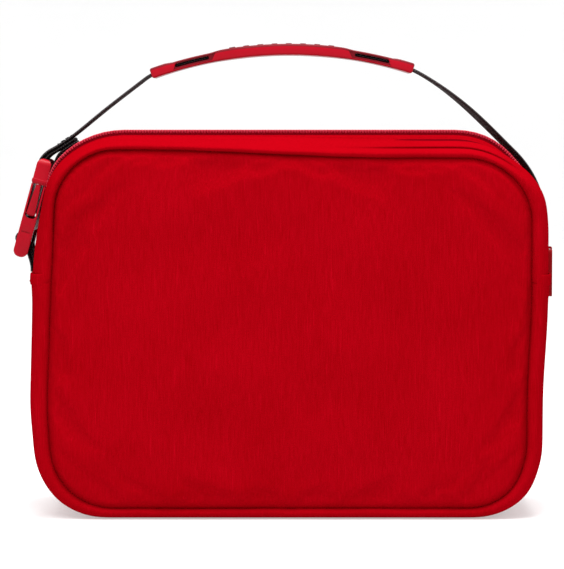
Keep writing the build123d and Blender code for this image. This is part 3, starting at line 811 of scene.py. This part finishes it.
def make_straps():
    """One length of webbing from the right hem, over the corner and through the grip to the stitched fold."""
    right_foot = [(HALF / MM + 2.0, HEM / MM + 0.3), (HALF / MM + 1.4, HEM / MM + 6), (HALF / MM + 1.1, 136)]
    corner_run = [corner(a, lift) for a, lift in ((80, 1.1), (70, 1.1), (61, 1.2), (52, 1.5), (43, 2.0), (35, 2.6))]
    free_run = [(98.7, 192.6), (87.6, 203.0), (75.0, 212.9)]
    in_grip = [grip_arc(angle) for angle in np.linspace(GRIP_END, GRIP_START, 14)]
    last = [(-76.0, 213.2), (-92.0, 201.0), FOLD, SPLIT, (-121.3, 179.7), (-124.4, 176.4), buckle_point(-2.9, -2.2)]
    strap = webbing("handle_strap", right_foot + corner_run + free_run + in_grip + last,
                    twist=lambda x, z: 4.5 * float(smooth(66, 98, x) * smooth(140, 172, z)),
                    drift=lambda x, z: 5.5 * float(smooth(56, 104, x) * smooth(138, 186, z)))
    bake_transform(strap)
    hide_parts("strap_right_lower", "strap_right_upper", "strap_in_grip", "strap_left_upper")

    loop = webbing("strap_fold", [layered(FOLD, -1), layered(SPLIT, -1), (-120.1, 178.2), (-122.6, 175.4),
                                  buckle_point(-2.5, -4.2), buckle_point(-2.4, -6.9), buckle_point(0, -7.7),
                                  buckle_point(2.6, -7.0), (-118.6, 171.4), (-117.2, 174.8), (-116.2, 177.2),
                                  layered(SPLIT, -2), layered(FOLD, -2)])
    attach(loop, "bag")
    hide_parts("strap_left_fold")

    foot = (-HALF / MM - 0.7, HEM / MM - 0.4)
    bar = buckle_point(0, -41.0)
    around = [(bar[0] + r * cos(radians(a)), bar[1] + r * sin(radians(a)))
              for a, r in ((15, 3.0), (60, 3.1), (105, 3.3), (150, 4.2), (185, 4.6), (225, 4.0), (270, 3.2))]
    tab = webbing("webbing_tab", [foot, (foot[0] - 0.5, foot[1] + 6), (foot[0] - 2.4, foot[1] + 12)] + around +
                  [(foot[0] - 3.0, foot[1] + 8), (foot[0] - 1.65, foot[1] + 3), (foot[0] - 1.65, foot[1])])
    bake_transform(tab)
    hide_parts("buckle_tab")

    shape = stitch_shape()
    run = hypot(FOLD[0] - SPLIT[0], FOLD[1] - SPLIT[1])
    tangent = ((FOLD[0] - SPLIT[0]) / run, 0, (FOLD[1] - SPLIT[1]) / run)
    out = (-tangent[2], 0, tangent[0])
    frames = []
    for share in (0.12, 0.4, 0.68, 0.95):
        x, z = layered((SPLIT[0] + (FOLD[0] - SPLIT[0]) * share, SPLIT[1] + (FOLD[1] - SPLIT[1]) * share), 0.55)
        for k in range(9):
            y = STRAP_Y + (k - 4) * 2.2 * MM
            frames.append(((x * MM, y, z * MM), [(0, 1, 0), tangent, out] if share in (0.12, 0.95)
                           else [tangent, (0, 1, 0), out]))
    thread = mount(copies("fold_thread", shape, frames), "bag", "thread", "fold_stitching")
    frames = [((side * (HALF + 1.55 * MM), STRAP_Y + (k - 4) * 2.1 * MM, HEM - (0.6 + 0.8 * row) * MM),
               [(0, 1, 0), (0, 0, 1), (side, 0, 0)]) for side in (-1, 1) for row in range(3) for k in range(9)]
    tacks = mount(settle_cloth(copies("hem_tacks", shape, frames)), "bag", "thread", "hem_bar_tacks")
    return [strap, loop, tab], [thread, tacks]


# ---------------------------------------------------------------- grip

def make_grip(light, dark):
    """Moulded grip, modelled straight along X and then laid on its arc and drawn in beside the palm."""
    middle = radians((GRIP_START + GRIP_END) / 2)
    half = radians(GRIP_END - GRIP_START) / 2 * GRIP_RADIUS
    wide, thick = 12 * MM, 2.6 * MM
    recess = wide - 0.65 * MM
    grip = block("grip_moulding", (-half, -wide, -thick), (half, wide, thick))
    bevel_edges(grip, lambda a, b: abs(a.x - b.x) > MM, 1.1 * MM, 4)
    for end in (-1, 1):
        left, right = sorted((end * 0.53 * half, end * 0.83 * half))
        scoop = block("scoop", (left, -2 * wide, -1.7 * MM), (right, 2 * wide, 1.9 * MM))
        choose(scoop, verts=lambda co: co.z > 0)
        with editing(scoop):
            bpy.ops.transform.translate(value=(-end * 2.4 * MM, 0, 0))
        core = block("core", (left - 9 * MM, -recess, -3 * MM), (right + 9 * MM, recess, 3 * MM))
        grip = cut(grip, cut(scoop, core))
        window = block("window", (left + 1.2 * MM, -2 * wide, -0.85 * MM), (right - 1.2 * MM, 2 * wide, 0.85 * MM))
        grip = cut(grip, bevel_edges(window, crosswise(), 0.8 * MM, 3))
    grip = cut(grip, block("channel", (-half - MM, -10.9 * MM, -0.95 * MM), (half + MM, 10.9 * MM, 0.95 * MM)))
    soften(grip, 0.25 * MM, 3)
    with editing(grip, everything=True):
        bpy.ops.mesh.bisect(plane_co=(0, 0, 1.5 * MM), plane_no=(0, 0, 1))
    ribs = []
    for index in range(8):
        x = (index - 3.5) * 7 * MM
        rib = block(f"grip_rib_{index + 1}", (x - 1.5 * MM, -8 * MM, 2.2 * MM), (x + 1.5 * MM, 8 * MM, 2.98 * MM))
        bevel_edges(rib, lambda a, b: abs(a.z - b.z) > 0.5 * MM, 1.0 * MM)
        ribs.append(soften(rib, 0.3 * MM, 2))
    for piece in [grip] + ribs:
        stations = np.arange(-half + 2 * MM, half, 2 * MM) if piece is grip else []
        with editing(piece):
            for x in stations:
                bpy.ops.mesh.select_all(action="SELECT")
                bpy.ops.mesh.bisect(plane_co=(x, 0, 0), plane_no=(1, 0, 0))
            bpy.ops.mesh.select_all(action="SELECT")
            bpy.ops.mesh.quads_convert_to_tris()
        # Painted shade: faces of the top band, the ribs on it, and the recessed stretches beside the windows take the
        # second material, a darker red.
        piece.data.materials.append(light)
        piece.data.materials.append(dark)
        for face in piece.data.polygons:
            share, depth = abs(face.center.x) / half, abs(face.center.y)
            sunk = 0.45 < share < 0.87 and recess - 2 * MM < depth < recess + 0.2 * MM
            face.material_index = int(face.center.z > 1.52 * MM or sunk)
        for v in piece.data.vertices:
            share = abs(v.co.x) / half
            width = 0.93 + 0.27 * (1 - float(smooth(0.22, 0.6, share))) + 0.07 * float(smooth(0.83, 0.88, share))
            fuller = 1 + 0.06 * (1 - float(smooth(0.3, 0.6, share)))
            fuller -= 0.2 * float(smooth(0.45, 0.55, share) * smooth(0.88, 0.82, share)) * float(v.co.z > 1.2 * MM)
            angle = middle + v.co.x / GRIP_RADIUS
            radius = GRIP_RADIUS + v.co.z * fuller
            v.co = (radius * sin(angle), STRAP_Y + v.co.y * width, GRIP_CENTRE_Z + radius * cos(angle))
        piece.data.update()
        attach(piece, "handle")
    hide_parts("grip")
    return [grip] + ribs


# ---------------------------------------------------------------- buckle

def lean(obj):
    """Carry an upright buckle piece to its place beside the bag."""
    obj.data.transform(Matrix.Translation(BUCKLE_TOP) @ Matrix.Rotation(LEAN, 4, "Y"))
    obj.data.update()
    return obj


def span(name, x, y, z_top, z_low):
    """A block of the upright buckle, in mm: half thickness, two depths, and from top down to foot."""
    return block(name, (-x * MM, y[0] * MM, z_low * MM), (x * MM, y[1] * MM, z_top * MM))


def make_buckle():
    """Webbing end with its bar and tongue, two release arms, and the hollow socket."""
    reach = BUCKLE_REACH / MM
    gap = reach - 3.0
    thick = BUCKLE_HALF / MM
    base = span("buckle_base", thick, (-reach, reach), 0, -13)
    bevel_edges(base, crosswise(low=-MM), 3.1 * MM, 6)
    base = cut(base, span("mouth", 2 * thick, (-gap, gap), 4, -9))
    base = fuse(base, rod("bar", (0, 0, -5 * MM), 1.5 * MM, 2 * (reach - 1) * MM))
    base = fuse(base, span("tongue", 1.0, (-3, 3), -12.5, -31))
    base = fuse(base, span("collar", thick + 0.25, (-reach - 0.25, reach + 0.25), -10.6, -12.2))
    pieces = [mount(lean(soften(base, 0.5 * MM, 3)), "bag", "red_plastic", "buckle_male_base")]

    for name, side in (("front", -1), ("rear", 1)):
        near, far = sorted((side * (reach - 2.4), side * reach))
        arm = span(f"{name}_arm", 1.2, (near, far), -13.3, -17.4)
        pad = span("pad", 2.3, (near, far), -16.0, -29.3)
        choose(pad, verts=lambda co: co.z > -17 * MM)
        with editing(pad):
            bpy.ops.transform.resize(value=(0.6, 1, 1), center_override=(0, 0, -16 * MM))
        bevel_edges(pad, crosswise(high=-29 * MM), 1.4 * MM, 4)
        node = f"buckle_arm_{name}"
        pieces.append(mount(lean(soften(fuse(arm, pad), 0.45 * MM, 3)), node, "red_plastic", node))

    socket = span("socket", thick, (-reach, reach), -13.3, -50.5)
    bevel_edges(socket, crosswise(high=-50 * MM), 3.2 * MM, 6)
    socket = cut(socket, span("hollow", 2.4, (-reach + 2.6, reach - 2.6), -10, -34))
    window = span("side_window", 2.7, (-2 * reach, 2 * reach), -10, -30.6)
    bevel_edges(window, crosswise(high=-30 * MM), 1.9 * MM, 5)
    socket = cut(socket, window)
    socket = cut(socket, span("foot_slot", 2 * thick, (-gap, gap), -36, -60))
    for side in (-1, 1):
        near, far = sorted((side * (reach - 0.35), side * (reach + 2)))
        socket = cut(socket, span("step", 2.2, (near, far), -37.4, -38.1))
    socket = fuse(socket, rod("socket_bar", (0, 0, -41 * MM), 1.8 * MM, 2 * (reach - 1) * MM))
    return pieces + [mount(lean(soften(socket, 0.5 * MM, 3)), "buckle_socket", "red_plastic", "buckle_socket")]


# ---------------------------------------------------------------- materials

class Value:
    """A shader socket that takes part in Python sums."""

    def __init__(self, tree, socket):
        self.tree, self.socket = tree, socket

    def math(self, operation, *others):
        return self.tree.node("ShaderNodeMath", {"operation": operation},
                              {i: v for i, v in enumerate((self, *others))})

    def __add__(self, other):
        return self.math("ADD", other)

    def __mul__(self, other):
        return self.math("MULTIPLY", other)

    def __sub__(self, other):
        return self.math("SUBTRACT", other)

    def __rsub__(self, other):
        return self * -1.0 + other

    __radd__ = __add__
    __rmul__ = __mul__


class Finish:
    """A material and the nodes that make it."""

    def __init__(self, name, roughness, **uniform):
        self.material = bpy.data.materials.new(name)
        self.material.use_nodes = True
        self.nodes = self.material.node_tree.nodes
        self.links = self.material.node_tree.links
        self.shader = self.nodes["Principled BSDF"]
        self.shader.inputs["Roughness"].default_value = roughness
        for key, value in uniform.items():
            self.shader.inputs[key.replace("_", " ")].default_value = value

    def node(self, kind, settings=None, inputs=None, output=0):
        made = self.nodes.new(kind)
        for key, value in (settings or {}).items():
            setattr(made, key, value)
        for key, value in (inputs or {}).items():
            if isinstance(value, Value):
                self.links.new(value.socket, made.inputs[key])
            else:
                made.inputs[key].default_value = value
        return Value(self, made.outputs[output])

    def feed(self, name, value):
        self.links.new(value.socket, self.shader.inputs[name])

    def split(self, vector, count=3):
        """The separate numbers of a vector."""
        made = self.node("ShaderNodeSeparateXYZ", None, {0: vector}).socket.node
        return [Value(self, made.outputs[i]) for i in range(count)]

    def place(self, scale):
        """Object coordinates, scaled along each axis."""
        at = self.node("ShaderNodeTexCoord", output="Object")
        return self.node("ShaderNodeVectorMath", {"operation": "MULTIPLY"}, {0: at, 1: scale})

    def noise(self, scale, detail=2.0, rough=0.5):
        return self.node("ShaderNodeTexNoise", None, {"Vector": self.place(scale), "Scale": 1.0, "Detail": detail,
                                                      "Roughness": rough})

    def wave(self, value, pitch):
        """A sine of a length, with one turn for each pitch, from -1 to 1."""
        return (value * (2 * pi / pitch)).math("SINE")

    def blend(self, factor, first, second):
        return self.node("ShaderNodeMix", {"data_type": "RGBA"}, {0: factor, 6: first, 7: second}, output=2)

    def bump(self, height, distance, strength=1.0):
        self.feed("Normal", self.node("ShaderNodeBump", None, {"Height": height, "Distance": distance,
                                                             "Strength": strength}))


def nylon():
    """Red nylon with fine pale slubs that run up the bag."""
    finish = Finish("heathered_nylon", 0.7, Specular_IOR_Level=0.0)
    slubs = finish.noise((2300, 2300, 110), 3.0, 0.6)
    bright = finish.noise((1300, 1300, 45), 1.0).math("GREATER_THAN", 0.7)
    clouds = finish.noise((24, 24, 24), 2.0)
    factor = (slubs - 0.5) * 1.3 + (clouds - 0.5) * 0.5 + bright * 0.35 + 0.45
    finish.feed("Base Color", finish.blend(factor, (0.21, 0.0002, 0.0015, 1), (0.325, 0.0007, 0.0055, 1)))
    x, y, z = finish.split(finish.place((1, 1, 1)))
    weave = finish.wave(x + y, 0.9 * MM) * finish.wave(z + y, 0.9 * MM)
    finish.bump(weave * 0.35 + slubs * 0.9, 0.12 * MM, 0.7)
    return finish.material


def plain_cloth(name, dark, light, pitch, roughness=0.8):
    finish = Finish(name, roughness, Specular_IOR_Level=0.0)
    grain = finish.noise((900, 900, 900), 2.0)
    finish.feed("Base Color", finish.blend(grain, dark, light))
    x, y, z = finish.split(finish.place((1, 1, 1)))
    finish.bump(finish.wave(x + z, pitch) * finish.wave(y + z, pitch), 0.15 * MM)
    return finish.material


def webbing_cloth():
    """Black webbing: a herringbone of ribs across, and grey flecks where the yarns turn over."""
    finish = Finish("black_webbing", 0.72, Specular_IOR_Level=0.08)
    u, v = finish.split(finish.node("ShaderNodeUVMap", {"uv_map": "weave"}), 2)
    ribs = finish.wave(u + finish.wave(v, 2.6) * 0.22, 1.25)
    picks = finish.wave(v + finish.wave(u, 2.5) * 0.3, 1.3)
    height = ribs * 0.5 + picks * 0.5
    factor = (height * 0.5 + 0.5).math("POWER", 2.0)
    finish.feed("Base Color", finish.blend(factor, (0.0022, 0.0018, 0.0022, 1), (0.085, 0.07, 0.072, 1)))
    finish.bump(height, 0.3 * MM)
    return finish.material


def moulded(name, dark, light, roughness, shine=0.3):
    """Satin moulded plastic with a faint grain and slight unevenness in colour and gloss."""
    finish = Finish(name, roughness, Specular_IOR_Level=shine)
    cloud = finish.noise((70, 70, 70), 3.0)
    finish.feed("Base Color", finish.blend(cloud, dark, light))
    grain = finish.noise((2600, 2600, 2600), 2.0)
    finish.feed("Roughness", grain * 0.16 + (roughness - 0.08))
    finish.bump(grain, 0.03 * MM, 0.6)
    return finish.material


def silver_film():
    """Crinkled heat-reflecting film."""
    finish = Finish("silver_film", 0.38, Metallic=0.75)
    crinkle = finish.noise((130, 130, 130), 4.0, 0.65)
    finish.feed("Base Color", finish.blend(crinkle, (0.5, 0.51, 0.53, 1), (0.82, 0.83, 0.85, 1)))
    finish.bump(crinkle, 0.8 * MM)
    return finish.material


def dress(pieces, material):
    for piece in pieces:
        piece.data.materials.clear()
        piece.data.materials.append(material)


# ---------------------------------------------------------------- stage

def make_stage():
    """Pale floor that curves up all round, and soft light from above and in front."""
    bpy.ops.object.select_all(action="DESELECT")
    bpy.ops.mesh.primitive_circle_add(vertices=64, radius=2.6, fill_type="NGON", location=(0, 0, 0))
    floor = bpy.context.object
    floor.name = floor.data.name = "floor"
    with editing(floor, "EDGE", everything=True):
        for reach, rise in ((0.5, 0.12), (0.35, 0.3), (0.15, 0.6), (0.02, 3.0)):
            bpy.ops.mesh.extrude_edges_move(TRANSFORM_OT_translate={"value": (0, 0, rise)})
            bpy.ops.transform.resize(value=(1 + reach / 2.6, 1 + reach / 2.6, 1), center_override=(0, 0, 0))
    with editing(floor, everything=True):
        bpy.ops.mesh.normals_make_consistent(inside=True)
    only(floor)
    bpy.ops.object.shade_smooth_by_angle(angle=radians(50))
    paper = Finish("paper", 0.9, Specular_IOR_Level=0.1, Emission_Strength=0.42)
    paper.shader.inputs["Emission Color"].default_value = (1, 1, 1, 1)
    paper.feed("Base Color", paper.blend(paper.noise((3, 3, 3)), (0.54, 0.54, 0.54, 1), (0.57, 0.57, 0.57, 1)))
    dress([floor], paper.material)
    world = bpy.data.worlds.new("studio")
    bpy.context.scene.world = world
    world.use_nodes = True
    world.node_tree.nodes["Background"].inputs[0].default_value = (1, 1, 1, 1)
    world.node_tree.nodes["Background"].inputs[1].default_value = 0.9
    for name, place, size, power in (("key", (-0.3, -0.8, 1.3), 0.7, 12), ("top", (0.1, -0.15, 1.4), 0.6, 22)):
        light = bpy.data.lights.new(name, "AREA")
        light.size = size
        light.energy = power
        lamp = bpy.data.objects.new(name, light)
        lamp.location = place
        lamp.rotation_euler = (Vector((0, 0, 0.1)) - Vector(place)).to_track_quat("-Z", "Y").to_euler()
        bpy.context.scene.collection.objects.link(lamp)


def make_camera():
    distance, rise = 1.3, radians(4)
    aim = Vector((-3.8 * MM, 0, 113 * MM))
    data = bpy.data.cameras.new("camera")
    data.sensor_width = 36
    data.lens = 163.7
    camera = bpy.data.objects.new("camera", data)
    camera.location = aim + distance * Vector((0, -cos(rise), sin(rise)))
    camera.rotation_euler = (aim - camera.location).to_track_quat("-Z", "Y").to_euler()
    bpy.context.scene.collection.objects.link(camera)
    bpy.context.scene.camera = camera
    bpy.context.scene.view_settings.view_transform = "Standard"


def main():
    make_stage()
    make_camera()
    red = nylon()
    red_plastic = moulded("red_moulding", (0.31, 0.0008, 0.008, 1), (0.36, 0.0012, 0.011, 1), 0.34, 0.1)
    # Painted shade for the grip: the same plastic in a darker red, for its top band, ribs and recesses.
    grip_painted_shade = moulded("red_moulding_painted_shade", (0.12, 0.0008, 0.005, 1), (0.16, 0.001, 0.007, 1), 0.5, 0.12)
    coil_plastic = moulded("coil_nylon", (0.42, 0.012, 0.03, 1), (0.52, 0.03, 0.06, 1), 0.4, 0.15)
    lacquer = moulded("red_lacquer", (0.2, 0.0005, 0.002, 1), (0.24, 0.0008, 0.003, 1), 0.5, 0.06)
    # Thread colour is partly its own and partly a painted highlight: lighter and pinker than the nylon, for the sheen
    # along the zip facing.
    red_thread = plain_cloth("red_thread", (0.34, 0.003, 0.012, 1), (0.42, 0.008, 0.025, 1), 0.3 * MM)
    black_thread = plain_cloth("black_thread", (0.006, 0.005, 0.006, 1), (0.03, 0.027, 0.028, 1), 0.3 * MM)
    red_tape = plain_cloth("red_tape", (0.13, 0.0005, 0.003, 1), (0.18, 0.001, 0.005, 1), 0.6 * MM)
    dark_tape = plain_cloth("binding_cloth", (0.015, 0.015, 0.017, 1), (0.04, 0.04, 0.045, 1), 0.7 * MM)
    black = webbing_cloth()
    silver = silver_film()

    dress(make_panels(), red)
    dress(make_gusset(), red)
    dress(make_hems(), red)
    for piece in make_facings():
        dress([piece], red_tape if "tape" in piece.name else red)
    dress(make_coils(), coil_plastic)
    dress(make_slider(), lacquer)
    for piece in make_lining():
        dress([piece], dark_tape if "binding" in piece.name else silver)
    dress(make_topstitching(), red_thread)
    straps, threads = make_straps()
    dress(straps, black)
    dress(threads, black_thread)
    make_grip(red_plastic, grip_painted_shade)
    dress(make_buckle(), red_plastic)


main()
